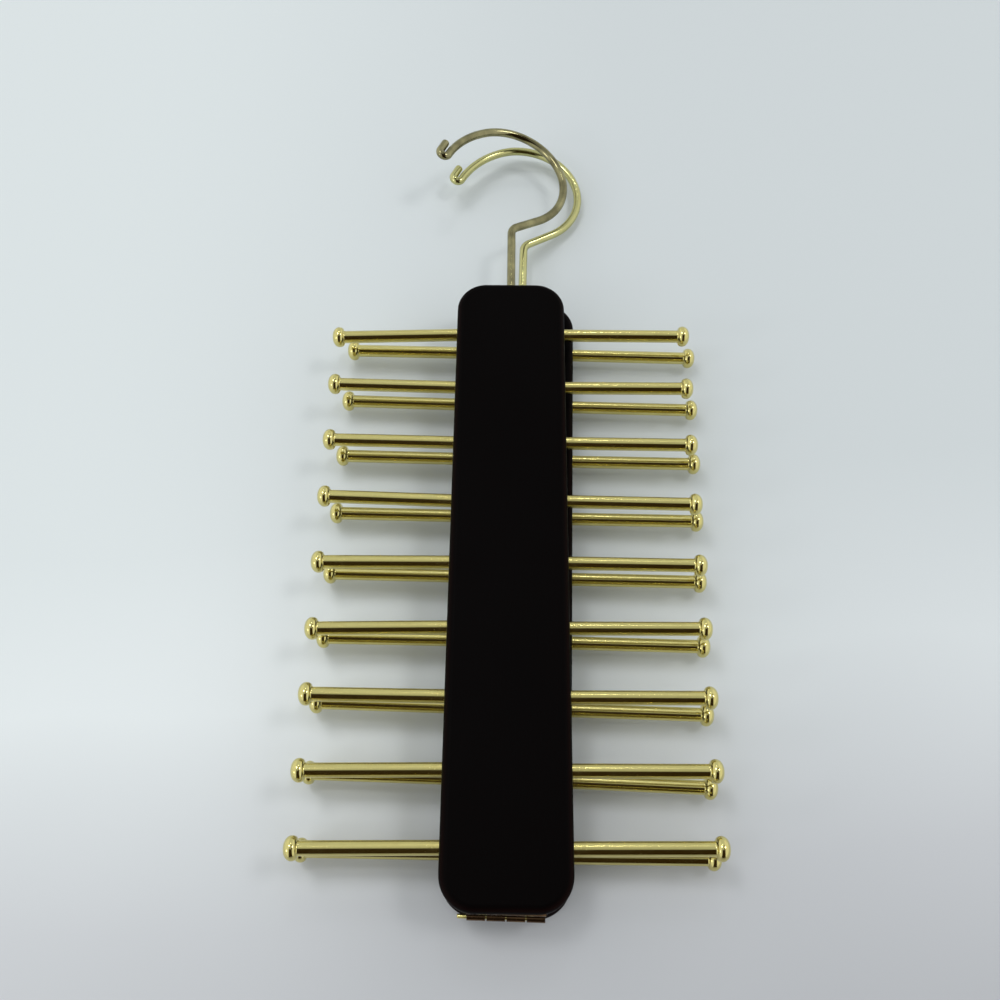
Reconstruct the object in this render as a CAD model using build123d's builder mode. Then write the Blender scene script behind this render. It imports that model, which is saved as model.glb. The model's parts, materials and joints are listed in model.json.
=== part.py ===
from build123d import *
import math
import os

os.makedirs("parts", exist_ok=True)

# Folding tie hanger: two wooden boards hinged at one end, each with rows of brass pegs and a swivel hook.
# It lies closed, the front board on top of the rear board: X across the boards, +Y towards the hooks, +Z up.
# The origin is the centre of the rear board's underside. Lengths are in millimetres, angles in degrees.

# Boards
board_width = 44.45
board_length = 246.0
board_thickness = 12.7
corner_radius = 12.0
edge_round = 3.0

# How the front board lies on the rear one: clear of it at both ends, moved and slightly out of square
hinge_gap = 3.3
hook_gap = 0.4
front_skew = 1.2
hinge_shift = 0.35
front_lead = 0.65

# Peg rows: from the first row's distance to the hinge end, as many as leave a margin at the hook end
row_pitch = 25.4
hinge_margin = 20.4
hook_margin = 20.0

# Turned brass pegs, with a knob of four bands
peg_radius = 2.55
peg_depth = 12.7
peg_reach = 52.0
neck_length = 1.0
belly_length = 1.8
shoulder_length = 1.5
crown_length = 1.1
belly_radius = 4.25
shoulder_radius = 3.5
crown_radius = 1.8

# Lean of each peg towards the hooks, row by row from the hook end, as the pegs were pressed in
front_left_leans = (-1.7, 1.4, 1.1, 1.8, -0.3, -1.0, 0.5, -0.8, -0.8)
front_right_leans = (-0.1, 0.1, -0.5, -0.9, -0.6, 0.3, 0.3, 0.4, 0.7)
rear_left_leans = (-0.2, 0.4, 0.0, -0.2, -0.2, -0.6, 0.2, 0.2, -0.8)
rear_right_leans = (-0.1, 0.0, 0.4, 0.5, 0.4, 0.1, -0.2, -0.8, 1.2)

# Sides of the regular polygons that stand for the round sections of pegs, bushes and screws, and of the wire
turned_sides = 12
wire_sides = 10

# Wire hooks
wire_radius = 1.8
neck_reach_front = 30.7
neck_reach_rear = 32.3
bend_radius = 5.0
bend_turn = 58.4
run_length = 11.8
crook_radius = 25.7
crook_turn = 174.8
tail_radius = 37.3
tail_turn = 39.2
hairpin_radius = 2.0
stub_length = 6.0
swivel_front = 16.9
swivel_rear = 6.9
upset_radius = 2.6
upset_length = 1.6

# Bushes that the hooks turn in
bush_radius = 3.2
bush_length = 14.0
swivel_clearance = 0.05
end_play = 0.1

# Butt hinge
hinge_length = 26.0
knuckle_count = 4
knuckle_gap = 0.5
barrel_radius = 1.3
leaf_thickness = 0.8
leaf_height = 10.0
pin_radius = 0.75
pin_overhang = 3.3
pin_clearance = 0.05
leaf_relief = 0.3
seat_clearance = 0.1

# Countersunk wood screws of the hinge leaves
screw_spacing = 15.0
screw_drop = 6.4
screw_head_radius = 1.8
screw_radius = 0.95
screw_length = 8.0
screw_tip_length = 1.2
screw_tip_radius = 0.3

# One overrun serves all the cuts
overrun = 1.0

# Places that follow from the sizes
half_width = board_width / 2
half_length = board_length / 2
mid_thickness = board_thickness / 2
row_count = int((board_length - hinge_margin - hook_margin) / row_pitch) + 1
row_places = [hinge_margin - half_length + row_pitch * (row_count - 1 - row) for row in range(row_count)]
knob_length = neck_length + belly_length + shoulder_length + crown_length
lean = math.degrees(math.atan((hinge_gap - hook_gap) / board_length))
hinge_face_y = front_lead - half_length
axis_y = hinge_face_y + leaf_thickness - barrel_radius
axis_z = board_thickness + hinge_gap / 2

# The boards' own frames: origin at the centre of the underside, X across, Y towards the hook
rear = Plane.XY
front_hinged_end = Location((hinge_shift, hinge_face_y, board_thickness + hinge_gap), (-lean, 0, front_skew))
front = Plane(front_hinged_end * Location((0, half_length, 0)))


def peg_planes(frame, side, leans):
    """Planes on a board's side face at the rows' peg axes, facing outwards; side is -1 for left, 1 for right."""
    planes = []
    for row, row_y in enumerate(row_places):
        lean_angle = math.radians(leans[row % len(leans)])
        out = frame.x_dir * side
        planes.append(
            Plane(
                origin=frame.from_local_coords((side * half_width, row_y, mid_thickness)),
                x_dir=frame.y_dir * math.cos(lean_angle) - out * math.sin(lean_angle),
                z_dir=frame.y_dir * math.sin(lean_angle) + out * math.cos(lean_angle),
            )
        )
    return planes


def end_plane(frame):
    """Plane on a board's hook end at the shank's axis, facing outwards."""
    return Plane(
        origin=frame.from_local_coords((0, half_length, mid_thickness)),
        x_dir=frame.x_dir,
        z_dir=frame.y_dir,
    )


def leaf_plane(flip):
    """Plane on the leaf's outer face at the hinge axis, its X away from the axis; flip is -1 down, 1 up."""
    return Plane(
        origin=(hinge_shift, hinge_face_y, axis_z),
        x_dir=(0, 0, flip),
        z_dir=(0, -1, 0),
    )


def bore_corner(radius):
    """Corner radius of a polygon bore that a round of this radius just fits into."""
    return radius / math.cos(math.pi / turned_sides)


def drafted_prism(plane, length, start_radius, end_radius):
    """A polygon prism on the plane, its sides drafted from one corner radius to another."""
    inset = (start_radius - end_radius) * math.cos(math.pi / turned_sides)
    with BuildPart(mode=Mode.PRIVATE) as prism:
        with BuildSketch(plane):
            RegularPolygon(start_radius, turned_sides)
        extrude(amount=length)
        if inset != 0:
            sides = prism.faces().sort_by(Axis(plane.origin, plane.z_dir))[1:-1]
            draft(sides, plane, math.degrees(math.atan(inset / length)))
    return prism.part


def turned(bands):
    """A piece turned about the Z axis, from bands of (length, start radius, end radius) upwards."""
    start = Plane.XY
    with BuildPart(mode=Mode.PRIVATE) as piece:
        for length, start_radius, end_radius in bands:
            add(drafted_prism(start, length, start_radius, end_radius))
            start = start.offset(length)
    return piece.part


def screw_planes(flip):
    """Planes on the leaf's outer face at its screws, facing into the board."""
    centre = leaf_plane(flip)
    return [
        Plane(
            origin=centre.from_local_coords((screw_drop, place, 0)),
            x_dir=centre.x_dir,
            z_dir=-centre.z_dir,
        )
        for place in (-screw_spacing / 2, screw_spacing / 2)
    ]


# Bevels that follow a quarter round of the edge: one at 45 degrees, then one on each of its two corners
main_bevel = edge_round * (1 - math.tan(math.pi / 8))
corner_bevel = edge_round * (math.tan(math.pi / 8) - math.tan(math.pi / 16))

# Peg: shaft, flared neck, belly, shoulder and crown
peg_form = turned((
    (peg_depth + peg_reach - knob_length, peg_radius, peg_radius),
    (neck_length, peg_radius, belly_radius),
    (belly_length, belly_radius, belly_radius),
    (shoulder_length, belly_radius, shoulder_radius),
    (crown_length, shoulder_radius, crown_radius),
))

# Screw: countersunk head as deep as the leaf, shank and tip
screw_form = turned((
    (leaf_thickness, screw_head_radius, screw_radius),
    (screw_length - leaf_thickness - screw_tip_length, screw_radius, screw_radius),
    (screw_tip_length, screw_radius, screw_tip_radius),
))

# The hinge's knuckles alternate between the leaves
knuckle_pitch = (hinge_length + knuckle_gap) / knuckle_count
knuckle_length = knuckle_pitch - knuckle_gap
plate_start = barrel_radius + leaf_relief
strap_middle = barrel_radius - leaf_thickness / 2

peg_leans = {
    "rear": (rear_left_leans, rear_right_leans),
    "front": (front_left_leans, front_right_leans),
}
boards = (
    ("rear", rear, -1, 0, pin_radius, swivel_rear, neck_reach_rear),
    ("front", front, 1, 1, pin_radius + pin_clearance, swivel_front, neck_reach_front),
)

for name, frame, flip, first_knuckle, knuckle_bore, swivel, neck_reach in boards:
    left_leans, right_leans = peg_leans[name]
    sides = (
        ("left", peg_planes(frame, -1, left_leans)),
        ("right", peg_planes(frame, 1, right_leans)),
    )

    # Board: a rounded slab with soft edges, blind peg bores, a stepped hook bore and a seat for the leaf
    with BuildPart() as board:
        with BuildSketch(frame):
            RectangleRounded(board_width, board_length, corner_radius)
        extrude(amount=board_thickness)
        up = Axis(frame.origin, frame.z_dir)
        rims = board.edges().group_by(up)
        chamfer(rims[0] + rims[-1], main_bevel)
        rims = board.edges().group_by(up)
        chamfer(rims[0] + rims[2] + rims[-3] + rims[-1], corner_bevel)
        for side_name, planes in sides:
            with BuildSketch(*[plane.offset(-peg_depth) for plane in planes]):
                RegularPolygon(peg_radius, turned_sides)
            extrude(amount=peg_depth + overrun, mode=Mode.SUBTRACT)
        hook_end = end_plane(frame)
        with BuildSketch(hook_end.offset(-bush_length)):
            RegularPolygon(bush_radius, turned_sides)
        extrude(amount=bush_length + overrun, mode=Mode.SUBTRACT)
        with BuildSketch(hook_end.offset(-bush_length)):
            RegularPolygon(bore_corner(upset_radius + end_play), turned_sides)
        extrude(amount=-(upset_length + 2 * end_play), mode=Mode.SUBTRACT)
        seat_height = leaf_height + seat_clearance
        with BuildSketch(leaf_plane(flip).offset(-leaf_thickness)):
            with Locations((seat_height / 2, 0)):
                Rectangle(seat_height, hinge_length + 2 * seat_clearance)
        extrude(amount=leaf_thickness + front_lead + overrun, mode=Mode.SUBTRACT)
        with Locations(*screw_planes(flip)):
            add(screw_form, mode=Mode.SUBTRACT)
    board.part.label = f"board_{name}"
    export_step(board.part, f"parts/{board.part.label}.step")

    # Pegs: a straight shaft pressed into its bore, with a flared neck, belly, shoulder and crown
    for side_name, planes in sides:
        for row, plane in enumerate(planes):
            with BuildPart() as peg:
                with Locations(plane.offset(-peg_depth)):
                    add(peg_form)
            peg.part.label = f"peg_{name}_{side_name}_{row + 1}"
            export_step(peg.part, f"parts/{peg.part.label}.step")

    # Bush: the sleeve in the board's end that the hook's shank turns in
    with BuildPart() as bush:
        with BuildSketch(hook_end.offset(-bush_length)):
            RegularPolygon(bush_radius, turned_sides)
            RegularPolygon(bore_corner(wire_radius + swivel_clearance), turned_sides, mode=Mode.SUBTRACT)
        extrude(amount=bush_length)
    bush.part.label = f"hook_bush_{name}"
    export_step(bush.part, f"parts/{bush.part.label}.step")

    # Hook: one wire, from its upset head through the bush to a tight hairpin at the tip
    # Its plane turns about the shank, so that the crook's outer side dips by the swivel angle
    turn = math.radians(swivel)
    across = frame.x_dir * math.cos(turn) - frame.z_dir * math.sin(turn)
    flat = Plane(origin=hook_end.origin, x_dir=across, z_dir=across.cross(frame.y_dir))
    with BuildPart() as hook:
        with BuildLine(flat):
            shank = Line((0, -(bush_length + end_play)), (0, neck_reach))
            bend = JernArc(shank @ 1, shank % 1, bend_radius, -bend_turn)
            run = Line(bend @ 1, bend @ 1 + (bend % 1) * run_length)
            crook = JernArc(run @ 1, run % 1, crook_radius, crook_turn)
            tail = JernArc(crook @ 1, crook % 1, tail_radius, tail_turn)
            hairpin = JernArc(tail @ 1, tail % 1, hairpin_radius, -180)
            stub = Line(hairpin @ 1, hairpin @ 1 + (hairpin % 1) * stub_length)
        with BuildSketch(Plane(origin=shank @ 0, x_dir=across, z_dir=shank % 0)):
            RegularPolygon(wire_radius, wire_sides)
        sweep()
        with BuildSketch(Plane(origin=shank @ 0, x_dir=across, z_dir=shank % 0)):
            RegularPolygon(upset_radius, turned_sides)
        extrude(amount=-upset_length)
    hook.part.label = f"hook_{name}"
    export_step(hook.part, f"parts/{hook.part.label}.step")

    # Hinge leaf: a countersunk plate on the board's end, with straps rolled into every other knuckle
    with BuildPart() as leaf:
        plate_height = leaf_height - plate_start
        with BuildSketch(leaf_plane(flip).offset(-leaf_thickness)):
            with Locations((plate_start + plate_height / 2, 0)):
                Rectangle(plate_height, hinge_length)
        extrude(amount=leaf_thickness)
        for knuckle in range(first_knuckle, knuckle_count, 2):
            knuckle_x = hinge_shift + knuckle * knuckle_pitch - hinge_length / 2
            with BuildSketch(Plane(origin=(knuckle_x, axis_y, axis_z), x_dir=(0, 1, 0), z_dir=(1, 0, 0))):
                Circle(barrel_radius)
                with Locations((strap_middle, flip * plate_start / 2)):
                    Rectangle(leaf_thickness, plate_start)
                Circle(knuckle_bore, mode=Mode.SUBTRACT)
            extrude(amount=knuckle_length)
        with Locations(*screw_planes(flip)):
            add(screw_form, mode=Mode.SUBTRACT)
    leaf.part.label = f"hinge_leaf_{name}"
    export_step(leaf.part, f"parts/{leaf.part.label}.step")

    # Screws of the leaf, two of a kind
    with BuildPart() as screws:
        with Locations(*screw_planes(flip)):
            add(screw_form)
    screws.part.label = f"leaf_screws_{name}"
    export_step(screws.part, f"parts/{screws.part.label}.step")

# Hinge pin: pressed into the rear leaf's knuckles, with one end standing out of the barrel
with BuildPart() as pin:
    pin_x = hinge_shift - hinge_length / 2 - pin_overhang
    with BuildSketch(Plane(origin=(pin_x, axis_y, axis_z), z_dir=(1, 0, 0))):
        Circle(pin_radius)
    extrude(amount=hinge_length + pin_overhang)
pin.part.label = "hinge_pin"
export_step(pin.part, f"parts/{pin.part.label}.step")
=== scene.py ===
"""Looks of a folding tie hanger: two lacquered boards, brass pegs and swivel hooks, and a butt hinge."""

import json
import logging
import math
from collections.abc import Iterator
from dataclasses import dataclass, field
from enum import Enum

import bmesh
import bpy
import numpy as np
from mathutils import Matrix, Vector


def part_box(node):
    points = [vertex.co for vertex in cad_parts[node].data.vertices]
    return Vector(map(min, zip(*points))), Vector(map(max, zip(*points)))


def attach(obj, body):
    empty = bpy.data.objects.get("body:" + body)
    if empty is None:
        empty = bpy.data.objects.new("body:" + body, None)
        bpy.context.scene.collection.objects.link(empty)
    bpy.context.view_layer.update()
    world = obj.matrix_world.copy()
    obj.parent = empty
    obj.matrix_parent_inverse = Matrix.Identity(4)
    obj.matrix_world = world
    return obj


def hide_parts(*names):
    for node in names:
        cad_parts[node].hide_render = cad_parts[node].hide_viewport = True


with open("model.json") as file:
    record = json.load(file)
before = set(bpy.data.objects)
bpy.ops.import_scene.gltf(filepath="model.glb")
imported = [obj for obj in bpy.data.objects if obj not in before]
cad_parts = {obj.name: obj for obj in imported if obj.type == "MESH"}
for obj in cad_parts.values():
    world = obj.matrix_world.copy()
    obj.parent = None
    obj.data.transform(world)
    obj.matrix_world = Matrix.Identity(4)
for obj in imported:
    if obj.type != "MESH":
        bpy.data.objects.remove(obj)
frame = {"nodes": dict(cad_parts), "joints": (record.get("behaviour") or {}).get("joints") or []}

LOG = logging.getLogger("tie_hanger")
MM = 0.001
PEG_ROWS = 9

# Directions in the frame
RIGHT = Vector((1, 0, 0))
TO_HOOKS = Vector((0, 1, 0))
UP = Vector((0, 0, 1))

# Two ends of a range, or a point of an outline
Pair = tuple[float, float]

# A noise texture stays mostly between these two values
NOISE_LOW = 0.3
NOISE_HIGH = 0.7

# Vertices this near the end of a piece, in metres, belong to that end
END_DEPTH = 0.5 * MM
# The same for the face of a screw's head, which is thinner
FACE_DEPTH = 0.1 * MM
# Points nearer to each other than this, in metres, are one
SAME_POINT = 1e-7
# A face whose normal has at least this much of Z in it looks up
LOOKS_UP = 0.9


class Body(Enum):
    """The CAD bodies that a piece can ride on."""

    REAR_BOARD = "rear_board"
    FRONT_BOARD = "front_board"
    REAR_HOOK = "rear_hook"
    FRONT_HOOK = "front_hook"


class Slot(Enum):
    """The record's material slots."""

    BOARD = "dark_board"
    PEG = "peg_brass"
    HOOK = "hook_brass"
    HINGE = "hinge_brass"
    BUSH = "bush_steel"


class Lay(Enum):
    """Which way buffing lines run on a piece: the place of that axis in a vector."""

    ACROSS = 0
    ALONG = 1


def linear(code: str) -> tuple[float, float, float, float]:
    """Turns an sRGB hex value into a linear colour.

    Args:
        code: Six hex digits, with or without a leading hash.

    Returns:
        Red, green, blue and an alpha of one.
    """
    digits = code.lstrip("#")
    channels = [int(digits[i : i + 2], 16) / 255 for i in (0, 2, 4)]
    red, green, blue = (
        c / 12.92 if c <= 0.04045 else ((c + 0.055) / 1.055) ** 2.4 for c in channels
    )
    return red, green, blue, 1.0


def per_metre(size_mm: float) -> float:
    """Returns the texture scale that repeats a pattern once in this many millimetres."""
    return 1 / (size_mm * MM)


def add_node(
    tree: bpy.types.NodeTree,
    kind: str,
    inputs: dict | None = None,
    **settings: object,
) -> bpy.types.Node:
    """Adds a node with its settings, input values and links.

    Args:
        tree: The node tree that gets the node.
        kind: The node's type name.
        inputs: Input name or number to a value, or to the output socket that feeds it.
        **settings: Properties of the node itself.

    Returns:
        The new node.
    """
    made = tree.nodes.new(kind)
    for name, value in settings.items():
        setattr(made, name, value)
    for key, value in (inputs or {}).items():
        if isinstance(value, bpy.types.NodeSocket):
            tree.links.new(value, made.inputs[key])
        else:
            made.inputs[key].default_value = value
    return made


def new_material(name: str) -> tuple[bpy.types.Material, bpy.types.NodeTree]:
    """Makes an empty node material.

    Args:
        name: The material's name.

    Returns:
        The material and its node tree, with no node in it.
    """
    material = bpy.data.materials.new(name)
    material.use_nodes = True
    material.node_tree.nodes.clear()
    return material, material.node_tree


# Finishes


@dataclass(frozen=True)
class EspressoLacquer:
    """Beech, dipped in espresso lacquer and dried to a satin skin.

    The eye gets a nearly black brown that shows its red on the rounded edges, in patches,
    and a pore line here and there that the lacquer hasn't filled. Real pores are about a tenth
    of a millimetre wide, which is too fine to show, so they are drawn three times as wide.
    """

    film: str = "#040202"
    edge_red: str = "#180705"
    pore_width_mm: float = 0.35
    pore_length_mm: float = 9.0
    cloud_mm: float = 40.0
    dust_spacing_mm: float = 6.6
    pore_levels: Pair = (0.30, 0.42)
    edge_levels: Pair = (0.97, 0.72)
    nib_levels: Pair = (0.03, 0.08)
    specular: float = 0.03
    satin: Pair = (0.45, 0.57)
    relief: float = 0.25
    relief_mm: float = 0.05

    def build(self) -> bpy.types.Material:
        """Builds the finish.

        Returns:
            The node material.
        """
        material, tree = new_material("beech_espresso_lacquer_satin")
        place = add_node(tree, "ShaderNodeTexCoord")
        grain_place = add_node(
            tree,
            "ShaderNodeMapping",
            {
                "Vector": place.outputs["Object"],
                "Scale": (1, self.pore_width_mm / self.pore_length_mm, 1),
            },
        )
        pores = add_node(
            tree,
            "ShaderNodeTexNoise",
            {"Vector": grain_place.outputs[0], "Scale": per_metre(self.pore_width_mm), "Detail": 3},
        )
        pore_depth = add_node(
            tree,
            "ShaderNodeMapRange",
            {0: pores.outputs[0], 1: self.pore_levels[0], 2: self.pore_levels[1], 3: 0.0, 4: 1.0},
        )
        clouds = add_node(
            tree,
            "ShaderNodeTexNoise",
            {"Vector": place.outputs["Object"], "Scale": per_metre(self.cloud_mm), "Detail": 4},
        )
        # The largest part of the normal is one on a flat face, and less on a rounded edge
        facing = add_node(tree, "ShaderNodeVectorMath", {0: place.outputs["Normal"]}, operation="ABSOLUTE")
        parts = add_node(tree, "ShaderNodeSeparateXYZ", {0: facing.outputs[0]})
        flat_xy = add_node(
            tree, "ShaderNodeMath", {0: parts.outputs[0], 1: parts.outputs[1]}, operation="MAXIMUM"
        )
        flat = add_node(
            tree, "ShaderNodeMath", {0: flat_xy.outputs[0], 1: parts.outputs[2]}, operation="MAXIMUM"
        )
        edge = add_node(
            tree,
            "ShaderNodeMapRange",
            {0: flat.outputs[0], 1: self.edge_levels[0], 2: self.edge_levels[1], 3: 0.0, 4: 1.0},
        )
        # The rounded edges turn redder, in patches
        edge_red_share = add_node(
            tree, "ShaderNodeMath", {0: edge.outputs[0], 1: clouds.outputs[0]}, operation="MULTIPLY"
        )
        colour = add_node(
            tree,
            "ShaderNodeMix",
            {0: edge_red_share.outputs[0], 6: linear(self.film), 7: linear(self.edge_red)},
            data_type="RGBA",
        )
        sheen_spread = add_node(
            tree,
            "ShaderNodeMapRange",
            {0: clouds.outputs[0], 1: NOISE_LOW, 2: NOISE_HIGH, 3: self.satin[0], 4: self.satin[1]},
        )
        dust = add_node(
            tree,
            "ShaderNodeTexVoronoi",
            {"Vector": place.outputs["Object"], "Scale": per_metre(self.dust_spacing_mm)},
        )
        nib = add_node(
            tree,
            "ShaderNodeMapRange",
            {0: dust.outputs["Distance"], 1: self.nib_levels[0], 2: self.nib_levels[1], 3: 1.0, 4: 0.0},
        )
        height = add_node(
            tree, "ShaderNodeMath", {0: pore_depth.outputs[0], 1: nib.outputs[0]}, operation="ADD"
        )
        bump = add_node(
            tree,
            "ShaderNodeBump",
            {"Height": height.outputs[0], "Strength": self.relief, "Distance": self.relief_mm * MM},
        )
        shader = add_node(
            tree,
            "ShaderNodeBsdfPrincipled",
            {
                "Base Color": colour.outputs[2],
                "Roughness": sheen_spread.outputs[0],
                "Specular IOR Level": self.specular,
                "Normal": bump.outputs[0],
            },
        )
        add_node(tree, "ShaderNodeOutputMaterial", {0: shader.outputs[0]})
        return material


@dataclass(frozen=True)
class PolishedBrassPlate:
    """Brass skin on turned steel or bent wire, buffed, or rolled sheet brass whose brown is painted
    reflection of the dark board beside it.

    The eye gets a gold mirror with dark bands from what stands around it, softened by buffing lines,
    with a few dull specks where the skin is pitted or dusty. Real buffing lines are a few hundredths
    of a millimetre wide, which is too fine to show, so they are drawn several times as wide.
    """

    name: str
    brass: str
    tarnish: str
    roughness: float
    tarnish_share: float = 0.25
    line_width_mm: float = 0.12
    line_length_mm: float = 4.0
    cloud_mm: float = 9.0
    speck_mm: float = 1.6
    lay: Lay = Lay.ACROSS
    tarnish_levels: Pair = (0.35, 0.75)
    pit_levels: Pair = (0.05, 0.11)
    gloss_levels: Pair = (0.3, 0.75)
    dulling: float = 0.10
    bump: float = 0.10
    relief_mm: float = 0.02

    def build(self) -> bpy.types.Material:
        """Builds the finish.

        Returns:
            The node material.
        """
        material, tree = new_material(self.name)
        place = add_node(tree, "ShaderNodeTexCoord")
        stretch = [1.0, 1.0, 1.0]
        stretch[self.lay.value] = self.line_width_mm / self.line_length_mm
        line_place = add_node(
            tree, "ShaderNodeMapping", {"Vector": place.outputs["Object"], "Scale": tuple(stretch)}
        )
        lines = add_node(
            tree,
            "ShaderNodeTexNoise",
            {"Vector": line_place.outputs[0], "Scale": per_metre(self.line_width_mm), "Detail": 2},
        )
        clouds = add_node(
            tree,
            "ShaderNodeTexNoise",
            {"Vector": place.outputs["Object"], "Scale": per_metre(self.cloud_mm), "Detail": 5},
        )
        dulled = add_node(
            tree,
            "ShaderNodeMapRange",
            {
                0: clouds.outputs[0],
                1: self.tarnish_levels[0],
                2: self.tarnish_levels[1],
                3: 0.0,
                4: self.tarnish_share,
            },
        )
        specks = add_node(
            tree,
            "ShaderNodeTexVoronoi",
            {"Vector": place.outputs["Object"], "Scale": per_metre(self.speck_mm)},
        )
        pit = add_node(
            tree,
            "ShaderNodeMapRange",
            {0: specks.outputs["Distance"], 1: self.pit_levels[0], 2: self.pit_levels[1], 3: 1.0, 4: 0.0},
        )
        pitted = add_node(
            tree, "ShaderNodeMath", {0: pit.outputs[0], 1: dulled.outputs[0]}, operation="MULTIPLY"
        )
        stained = add_node(
            tree,
            "ShaderNodeMath",
            {0: dulled.outputs[0], 1: pitted.outputs[0]},
            operation="ADD",
            use_clamp=True,
        )
        colour = add_node(
            tree,
            "ShaderNodeMix",
            {0: stained.outputs[0], 6: linear(self.brass), 7: linear(self.tarnish)},
            data_type="RGBA",
        )
        gloss = add_node(
            tree,
            "ShaderNodeMapRange",
            {
                0: clouds.outputs[0],
                1: self.gloss_levels[0],
                2: self.gloss_levels[1],
                3: self.roughness,
                4: self.roughness + self.dulling,
            },
        )
        rough = add_node(
            tree, "ShaderNodeMath", {0: pitted.outputs[0], 1: gloss.outputs[0]}, operation="ADD"
        )
        bump = add_node(
            tree,
            "ShaderNodeBump",
            {"Height": lines.outputs[0], "Strength": self.bump, "Distance": self.relief_mm * MM},
        )
        shader = add_node(
            tree,
            "ShaderNodeBsdfPrincipled",
            {
                "Base Color": colour.outputs[2],
                "Metallic": 1.0,
                "Roughness": rough.outputs[0],
                "Normal": bump.outputs[0],
            },
        )
        add_node(tree, "ShaderNodeOutputMaterial", {0: shader.outputs[0]})
        return material


@dataclass(frozen=True)
class TurnedSteel:
    """Mild steel bush, turned and left bare. The eye gets grey rings of the tool's feed."""

    metal: str = "#8E8E8C"
    feed_mm: float = 0.25
    roughness: float = 0.35
    dulling: float = 0.15
    relief: float = 0.2
    relief_mm: float = 0.01

    def build(self) -> bpy.types.Material:
        """Builds the finish.

        Returns:
            The node material.
        """
        material, tree = new_material("mild_steel_turned")
        place = add_node(tree, "ShaderNodeTexCoord")
        feed = add_node(
            tree,
            "ShaderNodeTexNoise",
            {"Vector": place.outputs["Object"], "Scale": per_metre(self.feed_mm), "Detail": 2},
        )
        rough = add_node(
            tree,
            "ShaderNodeMapRange",
            {
                0: feed.outputs[0],
                1: NOISE_LOW,
                2: NOISE_HIGH,
                3: self.roughness,
                4: self.roughness + self.dulling,
            },
        )
        bump = add_node(
            tree,
            "ShaderNodeBump",
            {"Height": feed.outputs[0], "Strength": self.relief, "Distance": self.relief_mm * MM},
        )
        shader = add_node(
            tree,
            "ShaderNodeBsdfPrincipled",
            {
                "Base Color": linear(self.metal),
                "Metallic": 1.0,
                "Roughness": rough.outputs[0],
                "Normal": bump.outputs[0],
            },
        )
        add_node(tree, "ShaderNodeOutputMaterial", {0: shader.outputs[0]})
        return material


@dataclass(frozen=True)
class WhiteLaminate:
    """Melamine laminate table top, pressed to a semi-gloss.

    Its colour holds painted shade: a cool white that is greyer to the right, and greyer and less blue
    towards the hinge, where less light falls.
    Places are in metres. A shade tone's place is a distance towards the hooks, which slants to the right.
    """

    # Painted shade: the white greys towards the hinge
    shade_tones: tuple[tuple[float, str], ...] = (
        (-0.20, "#C9CBCF"),
        (-0.11, "#DDE0E4"),
        (-0.04, "#F4FAFC"),
        (0.03, "#ECF3F5"),
        (0.33, "#EBF2F4"),
    )
    # Painted shade: the white greys towards the right
    right_shade: str = "#F0F0F1"
    left_x: float = -0.20
    right_x: float = 0.06
    slant: float = 0.15
    cloud_mm: float = 260.0
    cloud_reach: float = 0.015
    specular: float = 0.25
    roughness: float = 0.32

    def build(self) -> bpy.types.Material:
        """Builds the finish.

        Returns:
            The node material.
        """
        material, tree = new_material("melamine_laminate_white")
        place = add_node(tree, "ShaderNodeTexCoord")
        parts = add_node(tree, "ShaderNodeSeparateXYZ", {0: place.outputs["Object"]})
        clouds = add_node(
            tree,
            "ShaderNodeTexNoise",
            {"Vector": place.outputs["Object"], "Scale": per_metre(self.cloud_mm), "Detail": 2},
        )
        wander = add_node(
            tree,
            "ShaderNodeMapRange",
            {
                0: clouds.outputs[0],
                1: NOISE_LOW,
                2: NOISE_HIGH,
                3: -self.cloud_reach,
                4: self.cloud_reach,
            },
        )
        slanted = add_node(
            tree,
            "ShaderNodeMath",
            {0: parts.outputs[0], 1: -self.slant, 2: parts.outputs[1]},
            operation="MULTIPLY_ADD",
        )
        line = add_node(
            tree, "ShaderNodeMath", {0: slanted.outputs[0], 1: wander.outputs[0]}, operation="ADD"
        )
        nearest, farthest = self.shade_tones[0][0], self.shade_tones[-1][0]
        distance = add_node(
            tree, "ShaderNodeMapRange", {0: line.outputs[0], 1: nearest, 2: farthest, 3: 0.0, 4: 1.0}
        )
        # A new ramp has two stops, and the others are added
        tone = add_node(tree, "ShaderNodeValToRGB", {0: distance.outputs[0]})
        for i, (along, code) in enumerate(self.shade_tones):
            share = (along - nearest) / (farthest - nearest)
            stop = tone.color_ramp.elements[i] if i < 2 else tone.color_ramp.elements.new(share)
            stop.position = share
            stop.color = linear(code)
        aside = add_node(
            tree,
            "ShaderNodeMapRange",
            {0: parts.outputs[0], 1: self.left_x, 2: self.right_x, 3: 0.0, 4: 1.0},
            interpolation_type="SMOOTHSTEP",
        )
        # Painted shade: the tones are multiplied by a grey towards the right
        colour = add_node(
            tree,
            "ShaderNodeMix",
            {0: aside.outputs[0], 6: tone.outputs[0], 7: linear(self.right_shade)},
            data_type="RGBA",
            blend_type="MULTIPLY",
        )
        shader = add_node(
            tree,
            "ShaderNodeBsdfPrincipled",
            {
                "Base Color": colour.outputs[2],
                "Roughness": self.roughness,
                "Specular IOR Level": self.specular,
            },
        )
        add_node(tree, "ShaderNodeOutputMaterial", {0: shader.outputs[0]})
        return material


# Mesh helpers


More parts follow.
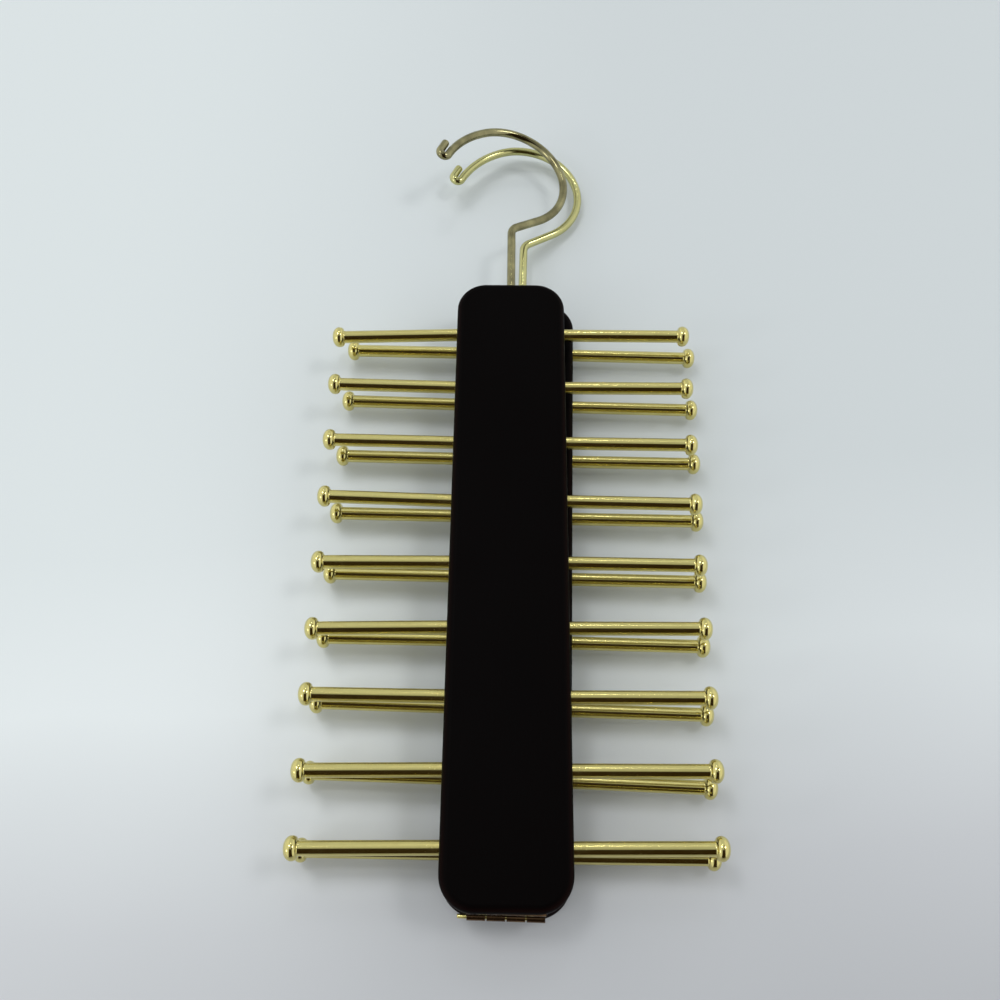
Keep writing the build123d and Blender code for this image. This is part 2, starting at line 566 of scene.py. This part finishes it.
def mesh_object(name: str, bm: bmesh.types.BMesh, smooth_deg: float = 40) -> bpy.types.Object:
    """Turns a bmesh into an object in the scene, smooth but for its sharp edges.

    Args:
        name: The object's name.
        bm: The mesh in metres, which is freed.
        smooth_deg: Edges that turn by more than this stay sharp.

    Returns:
        The new object.
    """
    bmesh.ops.recalc_face_normals(bm, faces=bm.faces)
    mesh = bpy.data.meshes.new(name)
    bm.to_mesh(mesh)
    bm.free()
    for polygon in mesh.polygons:
        polygon.use_smooth = True
    mesh.set_sharp_from_angle(angle=math.radians(smooth_deg))
    made = bpy.data.objects.new(name, mesh)
    bpy.context.scene.collection.objects.link(made)
    return made


def quarter(steps: int) -> list[Pair]:
    """Divides a quarter turn into equal steps.

    Args:
        steps: How many there are.

    Returns:
        The sine and cosine at the start and at the end of each step.
    """
    turns = [i / steps * math.pi / 2 for i in range(steps + 1)]
    return [(math.sin(turn), math.cos(turn)) for turn in turns]


def revolve(
    bm: bmesh.types.BMesh,
    profile: list[Pair],
    place: Matrix,
    sides: int,
) -> None:
    """Adds a closed turned form.

    Args:
        bm: The mesh that gets it.
        profile: (distance along the axis, radius) in mm, from the axis back to it, or round a loop.
        place: Takes the form, turned about its X axis, to where it belongs, in metres.
        sides: How many flats stand for the round.
    """
    rings = []
    for along, radius in profile:
        if radius * MM < SAME_POINT:
            rings.append([bm.verts.new(place @ Vector((along * MM, 0, 0)))])
            continue
        ring = []
        for i in range(sides):
            turn = 2 * math.pi * i / sides
            point = Vector((along, radius * math.cos(turn), radius * math.sin(turn)))
            ring.append(bm.verts.new(place @ (point * MM)))
        rings.append(ring)
    for ring, following in zip(rings, rings[1:]):
        for i in range(sides):
            j = (i + 1) % sides
            here = [ring[i % len(ring)], ring[j % len(ring)]]
            there = [following[j % len(following)], following[i % len(following)]]
            unique = list(dict.fromkeys(here + there))
            if len(unique) > 2:
                bm.faces.new(unique)


def skin(bm: bmesh.types.BMesh, rings: list[list[Vector]]) -> None:
    """Adds a closed skin over rings of points, with a flat face at either end.

    Args:
        bm: The mesh that gets it.
        rings: Points in metres, as many in each ring, from one end to the other.
    """
    loops = [[bm.verts.new(point) for point in ring] for ring in rings]
    count = len(loops[0])
    for loop, following in zip(loops, loops[1:]):
        for i in range(count):
            j = (i + 1) % count
            bm.faces.new((loop[i], loop[j], following[j], following[i]))
    bm.faces.new(list(reversed(loops[0])))
    bm.faces.new(loops[-1])


def cut_out(
    piece: bpy.types.Object,
    cutter: bpy.types.Object,
    crossing: bool = False,
    keep_flat: bool = False,
) -> None:
    """Cuts one object out of another for good, and removes the cutter.

    Args:
        piece: The object that is cut.
        cutter: What is cut out of it.
        crossing: Whether forms in the cutter pass through each other.
        keep_flat: Whether flat faces should shade as flat beside rounded edges.
    """
    cut = piece.modifiers.new("cut", "BOOLEAN")
    cut.operation = "DIFFERENCE"
    cut.solver = "EXACT"
    cut.use_self = crossing
    cut.object = cutter
    if keep_flat:
        weigh = piece.modifiers.new("normals", "WEIGHTED_NORMAL")
        weigh.keep_sharp = True
    graph = bpy.context.evaluated_depsgraph_get()
    solid = bpy.data.meshes.new_from_object(piece.evaluated_get(graph), depsgraph=graph)
    piece.modifiers.clear()
    piece.data = solid
    bpy.data.objects.remove(cutter)


# Places, read from the CAD nodes and joints


def rigid_matrix(origin: Vector, x_dir: Vector, y_dir: Vector, z_dir: Vector) -> Matrix:
    """Returns the matrix that takes the origin and the axes to these, in metres."""
    return Matrix.Translation(origin) @ Matrix((x_dir, y_dir, z_dir)).transposed().to_4x4()


def axis_matrix(start: Vector, along: Vector) -> Matrix:
    """Finds the matrix that takes X to a direction, with Z as near to upright as it can be.

    Args:
        start: Where the origin goes, in metres.
        along: The direction that X takes.

    Returns:
        A rigid 4 by 4 matrix.
    """
    x_dir = along.normalized()
    y_dir = UP.cross(x_dir).normalized()
    return rigid_matrix(start, x_dir, y_dir, x_dir.cross(y_dir))


def peg_nodes(board: str) -> Iterator[tuple[str, Vector]]:
    """Goes through a board's pegs, first those on the left.

    Args:
        board: The board's name.

    Yields:
        The name of a peg's CAD node, and roughly the direction in which it points.
    """
    for side, outwards in (("left", -RIGHT), ("right", RIGHT)):
        for row in range(1, PEG_ROWS + 1):
            yield f"peg_{board}_{side}_{row}", outwards


def node_points(name: str) -> np.ndarray:
    """Reads the vertices of a CAD node.

    Args:
        name: The node.

    Returns:
        Their places in metres, one row each.
    """
    mesh = frame["nodes"][name].data
    flat = np.empty(len(mesh.vertices) * 3)
    mesh.vertices.foreach_get("co", flat)
    return np.unique(flat.reshape(-1, 3).round(7), axis=0)


def node_axis(name: str, outwards: Vector) -> tuple[Vector, Vector, float]:
    """Finds the long axis of a slim CAD node.

    Args:
        name: The node.
        outwards: A rough direction in which the axis should point.

    Returns:
        The axis's start, its direction, and its length in metres.
    """
    points = node_points(name)
    rough = np.array(outwards.normalized())
    reach = points @ rough
    low = points[reach < reach.min() + END_DEPTH].mean(0)
    high = points[reach > reach.max() - END_DEPTH].mean(0)
    along = Vector(high - low).normalized()
    span = (points - low) @ np.array(along)
    return Vector(low) + along * span.min(), along, float(span.max() - span.min())


def swivel_joint(board: str) -> dict:
    """Returns the joint that a board's hook turns on, at the middle of the board's hook end."""
    return next(j for j in frame["joints"] if j["name"] == f"swivel_{board}")


# Sub-assemblies, with sizes in millimetres and turns in degrees


def dress(
    piece: bpy.types.Object,
    body: Body,
    material: bpy.types.Material,
    node: str,
) -> None:
    """Gives a new piece its material and body, and hides the CAD node that it stands for.

    Args:
        piece: The piece, already in place.
        body: The CAD body that it rides on.
        material: Its finish.
        node: The CAD node that it replaces.
    """
    piece.data.materials.clear()
    piece.data.materials.append(material)
    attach(piece, body.value)
    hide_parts(node)
    LOG.info("%s on %s in %s", piece.name, body.value, material.name)


@dataclass
class Finishes:
    """One material of each finish."""

    board: bpy.types.Material = field(default_factory=lambda: EspressoLacquer().build())
    peg: bpy.types.Material = field(
        default_factory=lambda: PolishedBrassPlate(
            "steel_brass_plate_buffed",
            brass="#DDD189",
            tarnish="#A08B3E",
            roughness=0.12,
            bump=0.05,
        ).build()
    )
    front_hook: bpy.types.Material = field(
        default_factory=lambda: PolishedBrassPlate(
            "steel_wire_brass_plate_dulled",
            brass="#A09A72",
            tarnish="#4A4532",
            roughness=0.09,
            tarnish_share=0.75,
            cloud_mm=6.0,
            lay=Lay.ALONG,
        ).build()
    )
    rear_hook: bpy.types.Material = field(
        default_factory=lambda: PolishedBrassPlate(
            "steel_wire_brass_plate_bright",
            brass="#C8C58A",
            tarnish="#8F8449",
            roughness=0.12,
            lay=Lay.ALONG,
        ).build()
    )
    # Painted reflection: the hinge's brass colours are brown for the dark board that it reflects
    hinge: bpy.types.Material = field(
        default_factory=lambda: PolishedBrassPlate(
            "brass_sheet_rolled_reflection_brown",
            brass="#7E6246",
            tarnish="#3E2F22",
            roughness=0.20,
            tarnish_share=0.8,
            cloud_mm=5.0,
        ).build()
    )
    bush: bpy.types.Material = field(default_factory=lambda: TurnedSteel().build())


@dataclass
class Pegs:
    """The turned brass pegs of one board."""

    board: str
    body: Body
    finishes: Finishes
    shaft_radius: float = 2.55
    root_chamfer: float = 0.3
    belly_radius: float = 4.15
    dome_length: float = 2.8
    under_length: float = 1.9
    neck_length: float = 0.7
    neck_radius: float = 2.9
    dome_fullness: float = 0.86
    neck_steps: int = 4
    knob_steps: int = 10
    sides: int = 48

    def profile(self, length: float) -> list[Pair]:
        """Outline of a peg from its root to its tip.

        Args:
            length: The whole peg's length in mm.

        Returns:
            (distance, radius) in mm.
        """
        belly = length - self.dome_length
        under = belly - self.under_length
        neck = under - self.neck_length
        swell = self.neck_radius - self.shaft_radius
        bulge = self.belly_radius - self.neck_radius
        outline = [
            (0.0, 0.0),
            (0.0, self.shaft_radius - self.root_chamfer),
            (self.root_chamfer, self.shaft_radius),
        ]
        for sine, cosine in quarter(self.neck_steps):
            radius = self.shaft_radius + swell * (1 - cosine)
            outline.append((neck + self.neck_length * sine, radius))
        for sine, cosine in quarter(self.knob_steps)[1:]:
            radius = self.neck_radius + bulge * sine
            outline.append((under + self.under_length * (1 - cosine), radius))
        for sine, cosine in quarter(self.knob_steps)[1:]:
            radius = self.belly_radius * cosine**self.dome_fullness
            outline.append((belly + self.dome_length * sine, radius))
        outline[-1] = (length, 0.0)
        return outline

    def build(self) -> None:
        """Builds every peg where its CAD node is."""
        for node, outwards in peg_nodes(self.board):
            start, along, length = node_axis(node, outwards)
            bm = bmesh.new()
            revolve(bm, self.profile(length / MM), Matrix.Identity(4), self.sides)
            piece = mesh_object(f"{node}_turned", bm)
            piece.matrix_world = axis_matrix(start, along)
            dress(piece, self.body, self.finishes.peg, node)


@dataclass
class Hook:
    """One wire hook, from its upset head to its hairpin tip."""

    board: str
    body: Body
    material: bpy.types.Material
    neck_reach: float
    wire_radius: float = 1.8
    head_inset: float = 14.1
    upset_radius: float = 2.6
    upset_length: float = 1.6
    upset_chamfer: float = 0.3
    upset_shoulder: float = 0.05
    bend_radius: float = 5.0
    bend_turn: float = 58.4
    run_length: float = 11.8
    crook_radius: float = 25.7
    crook_turn: float = 174.8
    tail_radius: float = 37.3
    tail_turn: float = 39.2
    hairpin_radius: float = 2.0
    stub_length: float = 6.0
    end_round: float = 1.0
    end_steps: int = 5
    bend_step_deg: float = 4.0
    bend_min_steps: int = 6
    sides: int = 28
    smooth_deg: float = 50.0

    def path(self) -> list[Vector]:
        """Centreline of the wire in its own plane, in mm, Y along the shank.

        Returns:
            Points from the head to the end of the stub.
        """
        points = [Vector((0, -self.head_inset)), Vector((0, self.neck_reach))]
        heading = math.pi / 2
        bends = (
            (0.0, -self.bend_turn, self.bend_radius),
            (self.run_length, self.crook_turn, self.crook_radius),
            (0.0, self.tail_turn, self.tail_radius),
            (0.0, -180.0, self.hairpin_radius),
        )
        for run, turn_deg, radius in bends:
            if run:
                points.append(points[-1] + Vector((math.cos(heading), math.sin(heading))) * run)
            turn = math.radians(turn_deg)
            sign = math.copysign(1, turn)
            steps = max(self.bend_min_steps, int(abs(turn_deg) / self.bend_step_deg))
            centre = points[-1] + Vector((-math.sin(heading), math.cos(heading))) * radius * sign
            spoke = points[-1] - centre
            for i in range(1, steps + 1):
                points.append(centre + Matrix.Rotation(turn * i / steps, 2) @ spoke)
            heading += turn
        points.append(points[-1] + Vector((math.cos(heading), math.sin(heading))) * self.stub_length)
        return points

    def sections(self) -> list[tuple[Vector, Vector, float]]:
        """Sections of the wire along its path, with the upset head and the rounded end.

        Returns:
            (centre, tangent, radius) in mm, in the hook's plane.
        """
        path = self.path()
        shank = Vector((0, 1))
        upset = (
            (self.upset_length, self.upset_radius - self.upset_chamfer),
            (self.upset_length - self.upset_chamfer, self.upset_radius),
            (self.upset_shoulder, self.upset_radius),
            (0.0, self.wire_radius),
        )
        sections = [(path[0] - shank * behind, shank, radius) for behind, radius in upset]
        for before, here, after in zip(path, path[1:], path[2:]):
            sections.append((here, (after - before).normalized(), self.wire_radius))
        end_dir = (path[-1] - path[-2]).normalized()
        core = self.wire_radius - self.end_round
        for sine, cosine in quarter(self.end_steps)[:-1]:
            back = self.end_round * (1 - sine)
            radius = core + self.end_round * cosine
            sections.append((path[-1] - end_dir * back, end_dir, radius))
        return sections

    def placement(self) -> Matrix:
        """Finds the hook's plane from its CAD node and its joint.

        Returns:
            The matrix from the hook's plane, X across and Y along the shank, to the frame.
        """
        joint = swivel_joint(self.board)
        points = node_points(f"hook_{self.board}")
        spread = points - points.mean(0)
        normal = Vector(np.linalg.svd(spread, full_matrices=False)[2][2])
        y_dir = Vector(joint["axis"]).normalized()
        z_dir = (normal - y_dir * normal.dot(y_dir)).normalized()
        if z_dir.z < 0:
            z_dir = -z_dir
        return rigid_matrix(Vector(joint["pos_m"]), y_dir.cross(z_dir), y_dir, z_dir)

    def build(self) -> None:
        """Builds the wire where its CAD node is."""
        turns = [2 * math.pi * i / self.sides for i in range(self.sides)]
        rings = []
        for centre, tangent, radius in self.sections():
            across = Vector((tangent.y, -tangent.x, 0))
            spokes = [across * math.cos(turn) + UP * math.sin(turn) for turn in turns]
            rings.append([(centre.to_3d() + spoke * radius) * MM for spoke in spokes])
        bm = bmesh.new()
        skin(bm, rings)
        piece = mesh_object(f"hook_{self.board}_wire", bm, self.smooth_deg)
        piece.matrix_world = self.placement()
        dress(piece, self.body, self.material, f"hook_{self.board}")


@dataclass
class Board:
    """One wooden board with its rounded edges, bores and leaf seat."""

    name: str
    body: Body
    finishes: Finishes
    width: float = 44.45
    length: float = 246.0
    thickness: float = 12.7
    corner_radius: float = 12.0
    edge_round: float = 3.0
    corner_steps: int = 14
    edge_steps: int = 6
    peg_bore: float = 2.62
    peg_depth: float = 12.8
    peg_room: float = 0.1
    bush_bore: float = 3.25
    bush_depth: float = 14.0
    bush_room: float = 2.0
    bore_overrun: float = 2.0
    bore_sides: int = 40
    seat_gap: float = 0.1
    seat_overrun: float = 3.0
    smooth_deg: float = 35.0

    def ring(self, inset: float, height: float) -> list[Vector]:
        """One rounded rectangle around the board.

        Args:
            inset: How far it lies inside the outline, in mm.
            height: Its height in mm.

        Returns:
            Points in metres, anticlockwise.
        """
        points = []
        half_x = self.width / 2 - self.corner_radius
        half_y = self.length / 2 - self.corner_radius
        reach = self.corner_radius - inset
        for corner, (sx, sy) in enumerate(((1, 1), (-1, 1), (-1, -1), (1, -1))):
            centre = Vector((sx * half_x, sy * half_y, height))
            for i in range(self.corner_steps + 1):
                turn = (corner + i / self.corner_steps) * math.pi / 2
                spoke = Vector((math.cos(turn), math.sin(turn), 0))
                points.append((centre + spoke * reach) * MM)
        return points

    def placement(self) -> Matrix:
        """Finds the board's frame from its hook's joint and the largest face that looks up.

        Returns:
            The matrix from the board's own frame, its origin at the underside's centre, to the model's.
        """
        joint = swivel_joint(self.name)
        faces = frame["nodes"][f"board_{self.name}"].data.polygons
        top = max((face for face in faces if face.normal.z > LOOKS_UP), key=lambda face: face.area)
        y_dir = Vector(joint["axis"]).normalized()
        x_dir = y_dir.cross(top.normal).normalized()
        z_dir = x_dir.cross(y_dir)
        inset = (y_dir * self.length / 2 + z_dir * self.thickness / 2) * MM
        return rigid_matrix(Vector(joint["pos_m"]) - inset, x_dir, y_dir, z_dir)

    def bore(self, room: float, radius: float, depth: float) -> list[Pair]:
        """Outline of a drill for what sits in the board, long enough to come out of its face.

        Args:
            room: How far it is drilled beyond the inner end of what sits in it, in mm.
            radius: The drill's radius in mm.
            depth: How deep the part in it sits, in mm.

        Returns:
            (distance from the inner end, radius) in mm.
        """
        end = depth + self.bore_overrun
        return [(-room, 0.0), (-room, radius), (end, radius), (end, 0.0)]

    def cutter(self) -> bpy.types.Object:
        """Everything that is cut out of the board: the bores and the leaf's seat.

        Returns:
            The cutter, in the model's frame.
        """
        bm = bmesh.new()
        drill = self.bore(self.peg_room, self.peg_bore, self.peg_depth)
        for node, outwards in peg_nodes(self.name):
            start, along, _ = node_axis(node, outwards)
            revolve(bm, drill, axis_matrix(start, along), self.bore_sides)
        drill = self.bore(self.bush_room, self.bush_bore, self.bush_depth)
        start, along, _ = node_axis(f"hook_bush_{self.name}", TO_HOOKS)
        revolve(bm, drill, axis_matrix(start, along), self.bore_sides)
        # The seat takes the leaf's plate with a gap around it, and is open towards the hinge
        low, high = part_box(f"hinge_leaf_{self.name}")
        gap = Vector((self.seat_gap, 0, self.seat_gap)) * MM
        low = Vector(low) - gap - TO_HOOKS * self.seat_overrun * MM
        high = Vector(high) + gap
        scale = Matrix.Diagonal((*(high - low), 1))
        bmesh.ops.create_cube(bm, size=1, matrix=Matrix.Translation((low + high) / 2) @ scale)
        return mesh_object(f"cut_{self.name}", bm)

    def build(self) -> None:
        """Builds the board where its CAD node is."""
        lower = []
        upper = []
        for sine, cosine in quarter(self.edge_steps):
            falling = self.edge_round * (1 - sine)
            rising = self.edge_round * (1 - cosine)
            lower.append(self.ring(falling, rising))
            upper.append(self.ring(rising, self.thickness - falling))
        place = self.placement()
        bm = bmesh.new()
        skin(bm, [[place @ point for point in ring] for ring in lower + upper])
        piece = mesh_object(f"board_{self.name}_lacquered", bm, self.smooth_deg)
        cut_out(piece, self.cutter(), keep_flat=True)
        dress(piece, self.body, self.finishes.board, f"board_{self.name}")


@dataclass
class Bush:
    """The turned steel sleeve that a hook turns in."""

    board: str
    body: Body
    finishes: Finishes
    outer_radius: float = 3.2
    bore_radius: float = 1.9
    edge: float = 0.25
    sides: int = 48

    def build(self) -> None:
        """Builds the sleeve where its CAD node is."""
        node = f"hook_bush_{self.board}"
        start, along, length = node_axis(node, TO_HOOKS)
        end = length / MM
        outline = [
            (0.0, self.bore_radius),
            (0.0, self.outer_radius),
            (end - self.edge, self.outer_radius),
            (end, self.outer_radius - self.edge),
            (end, self.bore_radius + self.edge),
            (end - self.edge, self.bore_radius),
            (0.0, self.bore_radius),
        ]
        bm = bmesh.new()
        revolve(bm, outline, Matrix.Identity(4), self.sides)
        bmesh.ops.remove_doubles(bm, verts=bm.verts, dist=SAME_POINT)
        piece = mesh_object(f"{node}_turned", bm)
        piece.matrix_world = axis_matrix(start, along)
        dress(piece, self.body, self.finishes.bush, node)


@dataclass
class Hinge:
    """The butt hinge: two leaves, their pin and their countersunk screws."""

    finishes: Finishes
    pin_radius: float = 0.75
    pin_dome: float = 0.35
    pin_steps: int = 5
    pin_sides: int = 32
    head_radius: float = 1.8
    head_depth: float = 0.8
    shank_radius: float = 0.95
    screw_length: float = 8.0
    screw_sides: int = 40
    screw_smooth_deg: float = 30.0
    tip_length: float = 1.2
    tip_radius: float = 0.3
    slot_width: float = 0.45
    slot_depth: float = 0.35
    cross_length: float = 2.2

    def build_leaves(self) -> None:
        """Dresses the CAD leaves, whose shape is right as it is."""
        for name in ("rear", "front"):
            leaf = frame["nodes"][f"hinge_leaf_{name}"]
            leaf.data.materials.clear()
            leaf.data.materials.append(self.finishes.hinge)
            LOG.info("%s in %s", leaf.name, self.finishes.hinge.name)

    def build_pin(self) -> None:
        """Builds the pin, with domed ends."""
        start, along, length = node_axis("hinge_pin", RIGHT)
        outline = []
        for sine, cosine in quarter(self.pin_steps):
            outline.append((self.pin_dome * (1 - cosine), self.pin_radius * sine))
        outline += [(length / MM - distance, radius) for distance, radius in reversed(outline)]
        bm = bmesh.new()
        revolve(bm, outline, Matrix.Identity(4), self.pin_sides)
        piece = mesh_object("hinge_pin_domed", bm)
        piece.matrix_world = axis_matrix(start, along)
        dress(piece, Body.REAR_BOARD, self.finishes.peg, "hinge_pin")

    def build_screws(self) -> None:
        """Builds each leaf's two screws, with a cross recess in their heads."""
        outline = [
            (0.0, 0.0),
            (0.0, self.head_radius),
            (self.head_depth, self.shank_radius),
            (self.screw_length - self.tip_length, self.shank_radius),
            (self.screw_length, self.tip_radius),
            (self.screw_length, 0.0),
        ]
        bars = (
            (2 * self.slot_depth, self.cross_length, self.slot_width),
            (2 * self.slot_depth, self.slot_width, self.cross_length),
        )
        for name, body in (("rear", Body.REAR_BOARD), ("front", Body.FRONT_BOARD)):
            node = f"leaf_screws_{name}"
            points = node_points(node)
            middle = points[:, 0].mean()
            bm = bmesh.new()
            cuts = bmesh.new()
            for screw in (points[points[:, 0] < middle], points[points[:, 0] > middle]):
                depths = screw[:, 1]
                head = screw[depths < depths.min() + FACE_DEPTH].mean(0)
                place = axis_matrix(Vector(head), TO_HOOKS)
                revolve(bm, outline, place, self.screw_sides)
                for bar in bars:
                    scale = Matrix.Diagonal((*[size * MM for size in bar], 1))
                    bmesh.ops.create_cube(cuts, size=1, matrix=place @ scale)
            piece = mesh_object(f"{node}_cross_head", bm, self.screw_smooth_deg)
            cut_out(piece, mesh_object(f"{node}_cut", cuts), crossing=True)
            dress(piece, body, self.finishes.peg, node)

    def build(self) -> None:
        """Builds or dresses every piece of the hinge."""
        self.build_leaves()
        self.build_pin()
        self.build_screws()


# The setting


@dataclass(frozen=True)
class Lamp:
    """A soft round lamp that faces the hanger, with its angles in degrees and its sizes in metres."""

    name: str
    azimuth: float
    elevation: float
    power: float
    size: float = 0.7
    distance: float = 3.0

    def build(self) -> None:
        """Hangs the lamp."""
        data = bpy.data.lights.new(f"lamp_{self.name}", "AREA")
        data.shape = "DISK"
        data.size = self.size
        data.energy = self.power
        lamp = bpy.data.objects.new(data.name, data)
        turn = math.radians(self.azimuth)
        rise = math.radians(self.elevation)
        level = Vector((math.cos(turn), math.sin(turn), 0))
        towards = level * math.cos(rise) + UP * math.sin(rise)
        lamp.location = towards * self.distance
        lamp.rotation_euler = towards.to_track_quat("Z", "Y").to_euler()
        bpy.context.scene.collection.objects.link(lamp)


@dataclass(frozen=True)
class Room:
    """A pale room, which lights the scene, with a dark panel at the near side for the brass to reflect.

    Each pair says where a surface starts to show and where it shows in full, on one axis of the
    direction that is looked in: X to the right, Y to the hooks and Z up.
    """

    wall: str = "#DCE1E2"
    ceiling: str = "#C9CECF"
    window: str = "#FBFDFD"
    panel: str = "#332610"
    backdrop: str = "#F2F5F5"
    strength: float = 0.92
    ceiling_z: Pair = (0.86, 0.97)
    window_x: Pair = (0.24, 0.50)
    panel_y: Pair = (-0.10, -0.30)
    panel_left_x: Pair = (-0.34, -0.24)
    panel_right_x: Pair = (0.54, 0.44)
    wing_y: Pair = (0.52, 0.38)
    wing_left_x: Pair = (0.20, 0.28)

    def fades(self, tree: bpy.types.NodeTree) -> list[bpy.types.NodeSocket]:
        """Adds what works out how much of each surface a direction meets.

        Args:
            tree: The world's node tree.

        Returns:
            Shares from zero to one, in the order of the fields.
        """
        place = add_node(tree, "ShaderNodeTexCoord")
        parts = add_node(tree, "ShaderNodeSeparateXYZ", {0: place.outputs["Generated"]})
        x, y, z = parts.outputs
        sideways = add_node(tree, "ShaderNodeMath", {0: x}, operation="ABSOLUTE")
        bounds = (
            (z, self.ceiling_z),
            (sideways.outputs[0], self.window_x),
            (y, self.panel_y),
            (x, self.panel_left_x),
            (x, self.panel_right_x),
            (y, self.wing_y),
            (x, self.wing_left_x),
        )
        shares = []
        for part, (none, whole) in bounds:
            fade = add_node(
                tree,
                "ShaderNodeMapRange",
                {0: part, 1: none, 2: whole, 3: 0.0, 4: 1.0},
                interpolation_type="SMOOTHSTEP",
            )
            shares.append(fade.outputs[0])
        return shares

    def build(self) -> bpy.types.World:
        """Builds the room.

        Returns:
            The world, not yet in the scene.
        """
        world = bpy.data.worlds.new("pale_room")
        world.use_nodes = True
        tree = world.node_tree
        tree.nodes.clear()
        ceiling, window, near, left, right, wing_near, wing_left = self.fades(tree)
        # The ceiling right above is a little greyer than the bright wall ahead
        colours = {6: linear(self.wall), 7: linear(self.ceiling)}
        room = add_node(tree, "ShaderNodeMix", {0: ceiling, **colours}, data_type="RGBA")
        # Windows to the left and right are brighter than both
        lit_room = add_node(
            tree,
            "ShaderNodeMix",
            {0: window, 6: room.outputs[2], 7: linear(self.window)},
            data_type="RGBA",
        )
        # The dark panel leans over the table, and a wing of it on the right reaches farther
        leaf = add_node(tree, "ShaderNodeMath", {0: near, 1: left}, operation="MULTIPLY")
        wing = add_node(tree, "ShaderNodeMath", {0: wing_near, 1: wing_left}, operation="MULTIPLY")
        both = add_node(
            tree, "ShaderNodeMath", {0: leaf.outputs[0], 1: wing.outputs[0]}, operation="MAXIMUM"
        )
        dark = add_node(tree, "ShaderNodeMath", {0: both.outputs[0], 1: right}, operation="MULTIPLY")
        reflected = add_node(
            tree,
            "ShaderNodeMix",
            {0: dark.outputs[0], 6: lit_room.outputs[2], 7: linear(self.panel)},
            data_type="RGBA",
        )
        # What is seen past the table itself is plain and pale from every side
        ray = add_node(tree, "ShaderNodeLightPath")
        colour = add_node(
            tree,
            "ShaderNodeMix",
            {0: ray.outputs["Is Camera Ray"], 6: reflected.outputs[2], 7: linear(self.backdrop)},
            data_type="RGBA",
        )
        glow = add_node(
            tree, "ShaderNodeBackground", {"Color": colour.outputs[2], "Strength": self.strength}
        )
        add_node(tree, "ShaderNodeOutputWorld", {0: glow.outputs[0]})
        return world


@dataclass
class Setting:
    """Table, camera, lamps and surroundings."""

    camera_mm: tuple[float, float, float] = (0.89, -132.25, 372.32)
    camera_deg: tuple[float, float, float] = (24.171, 0.350, 1.846)
    lens_mm: float = 36.0
    sensor_mm: float = 36.0
    clip_mm: float = 10.0
    table_mm: float = 3000.0
    table_drop_mm: float = 0.05
    lamps: tuple[Lamp, ...] = (
        Lamp("right", azimuth=16, elevation=58, power=9.5),
        Lamp("left", azimuth=141, elevation=67, power=10.5),
        Lamp("far", azimuth=89, elevation=52, power=1.6, size=0.12),
        Lamp("near_left", azimuth=207, elevation=27, power=4.5, size=0.6),
    )

    def build_camera(self) -> None:
        """Puts the camera where the picture was taken from."""
        data = bpy.data.cameras.new("camera")
        data.sensor_width = self.sensor_mm
        data.lens = self.lens_mm
        data.clip_start = self.clip_mm * MM
        camera = bpy.data.objects.new("camera", data)
        camera.location = Vector(self.camera_mm) * MM
        camera.rotation_euler = [math.radians(angle) for angle in self.camera_deg]
        bpy.context.scene.collection.objects.link(camera)
        bpy.context.scene.camera = camera

    def build_table(self) -> None:
        """Lays the pale table under the object."""
        bm = bmesh.new()
        bmesh.ops.create_grid(bm, x_segments=4, y_segments=4, size=self.table_mm / 2 * MM)
        table = mesh_object("table_top", bm)
        table.location = (0, 0, -self.table_drop_mm * MM)
        table.data.materials.append(WhiteLaminate().build())
        LOG.info("table in %s", table.data.materials[0].name)

    def build(self) -> None:
        """Builds the whole setting."""
        self.build_camera()
        self.build_table()
        for lamp in self.lamps:
            lamp.build()
        bpy.context.scene.world = Room().build()
        bpy.context.scene.view_settings.view_transform = "Standard"


# Everything together


def main() -> None:
    """Builds the hanger's looks piece by piece, then the setting."""
    logging.basicConfig(level=logging.INFO, format="%(name)s: %(message)s")
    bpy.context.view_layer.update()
    finishes = Finishes()
    Board("rear", Body.REAR_BOARD, finishes).build()
    Board("front", Body.FRONT_BOARD, finishes).build()
    Pegs("rear", Body.REAR_BOARD, finishes).build()
    Pegs("front", Body.FRONT_BOARD, finishes).build()
    Bush("rear", Body.REAR_BOARD, finishes).build()
    Bush("front", Body.FRONT_BOARD, finishes).build()
    Hook("rear", Body.REAR_HOOK, finishes.rear_hook, neck_reach=32.3).build()
    Hook("front", Body.FRONT_HOOK, finishes.front_hook, neck_reach=30.7).build()
    Hinge(finishes).build()
    Setting().build()


if __name__ == "__main__":
    main()
